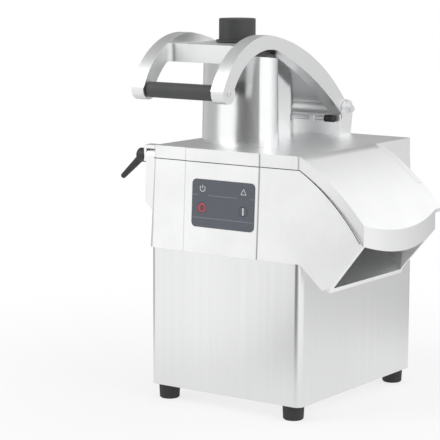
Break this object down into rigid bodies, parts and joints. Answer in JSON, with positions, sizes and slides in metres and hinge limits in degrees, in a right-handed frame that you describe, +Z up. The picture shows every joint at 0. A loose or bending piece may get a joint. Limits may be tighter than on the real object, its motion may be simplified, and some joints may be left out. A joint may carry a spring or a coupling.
{
  "type": "vegetable slicer",
  "caption": "Tabletop vegetable slicer: steel cabinet, cast head with a kidney hopper, lever press with feed tube, curved outlet chute and a belt-driven slicing disc.",
  "frame": {"origin": "on the bench, under the middle of the whole machine", "axes": "+Z up, +X towards the outlet chute, +Y towards the back, so that the control panel faces -Y"},
  "size_m": [0.5089, 0.4154, 0.638],
  "materials": {
    "cast": "bright satin casting",
    "steel": "brushed stainless steel sheet",
    "bright_steel": "polished stainless steel",
    "black_plastic": "moulded, fine matt",
    "overlay": "printed membrane, slate grey",
    "red_key": "moulded key",
    "white_key": "moulded key",
    "rubber": "moulded rubber",
    "blade": "ground blade steel",
    "zinc": "zinc-plated steel",
    "motor": "grey enamel",
    "board": "circuit board"
  },
  "bodies": {
    "base": {"body_wrap": "steel", "rear_panel": "steel", "panel_screws": "zinc", "base_plate": "steel", "rubber_feet": "rubber", "foot_screws": "zinc", "chamber_casting": "cast", "control_panel": "overlay", "keypad_board": "board", "hinge_pins": "bright_steel", "bearing_housing": "cast", "bearing_outer_races": "zinc", "housing_bolts": "zinc", "shaft_seal": "rubber", "drive_belt": "rubber", "motor_plate": "zinc", "plate_bolts": "zinc", "motor_housing": "motor", "control_box": "black_plastic", "cable_gland": "black_plastic", "head_bolts": "zinc"},
    "spindle": {"drive_shaft": "bright_steel", "bearing_inner_races": "zinc", "driven_pulley": "cast", "ejector_disc": "cast", "slicing_disc": "cast", "slicing_blades": "blade", "blade_screws": "zinc", "disc_nut": "bright_steel"},
    "motor_rotor": {"motor_shaft": "zinc", "drive_pulley": "cast"},
    "lid": {"lid_casting": "cast", "lever_bracket": "cast", "bracket_screws": "zinc", "lever_axle": "bright_steel", "axle_nuts": "bright_steel", "stop_bar": "bright_steel", "stop_buffers": "rubber"},
    "lever": {"press_lever": "cast", "hand_grip": "black_plastic", "grip_rod": "bright_steel", "grip_screws": "zinc", "press_plate": "cast", "feed_tube": "cast"},
    "pusher": {"pusher": "black_plastic", "pusher_cap": "black_plastic"},
    "clamp": {"clamp_lever": "black_plastic"},
    "start_button": {"start_key": "white_key"},
    "stop_button": {"stop_key": "red_key"}
  },
  "joints": [
    {"name": "spindle_spin", "type": "hinge", "parent": "base", "child": "spindle", "pos_m": [-0.05396, -0.00875, 0.358], "axis": [0, 0, 1], "continuous": true},
    {"name": "motor_spin", "type": "hinge", "parent": "base", "child": "motor_rotor", "pos_m": [0.03604, 0.09925, 0.279], "axis": [0, 0, 1], "continuous": true},
    {"name": "lid_hinge", "type": "hinge", "parent": "base", "child": "lid", "pos_m": [-0.01896, 0.19525, 0.405], "axis": [-1, 0, 0], "range_deg": [0, 90]},
    {"name": "lever_pivot", "type": "hinge", "parent": "lid", "child": "lever", "pos_m": [-0.01896, 0.16825, 0.476], "axis": [-1, 0, 0], "range_deg": [0, 75]},
    {"name": "pusher_slide", "type": "slide", "parent": "lever", "child": "pusher", "axis": [0, 0, 1], "range_m": [0, 0.12]},
    {"name": "clamp_turn", "type": "hinge", "parent": "base", "child": "clamp", "pos_m": [-0.19696, -0.14575, 0.409], "axis": [1, 0, 0], "range_deg": [0, 90]},
    {"name": "start_press", "type": "slide", "parent": "base", "child": "start_button", "axis": [0, 0.9988, -0.0499], "range_m": [0, 0.001], "stiffness_N_per_m": 600},
    {"name": "stop_press", "type": "slide", "parent": "base", "child": "stop_button", "axis": [0, 0.9988, -0.0499], "range_m": [0, 0.001], "stiffness_N_per_m": 600}
  ],
  "couplings": [
    {"joint": "motor_spin", "follows": "spindle_spin", "ratio": 3.8947}
  ]
}
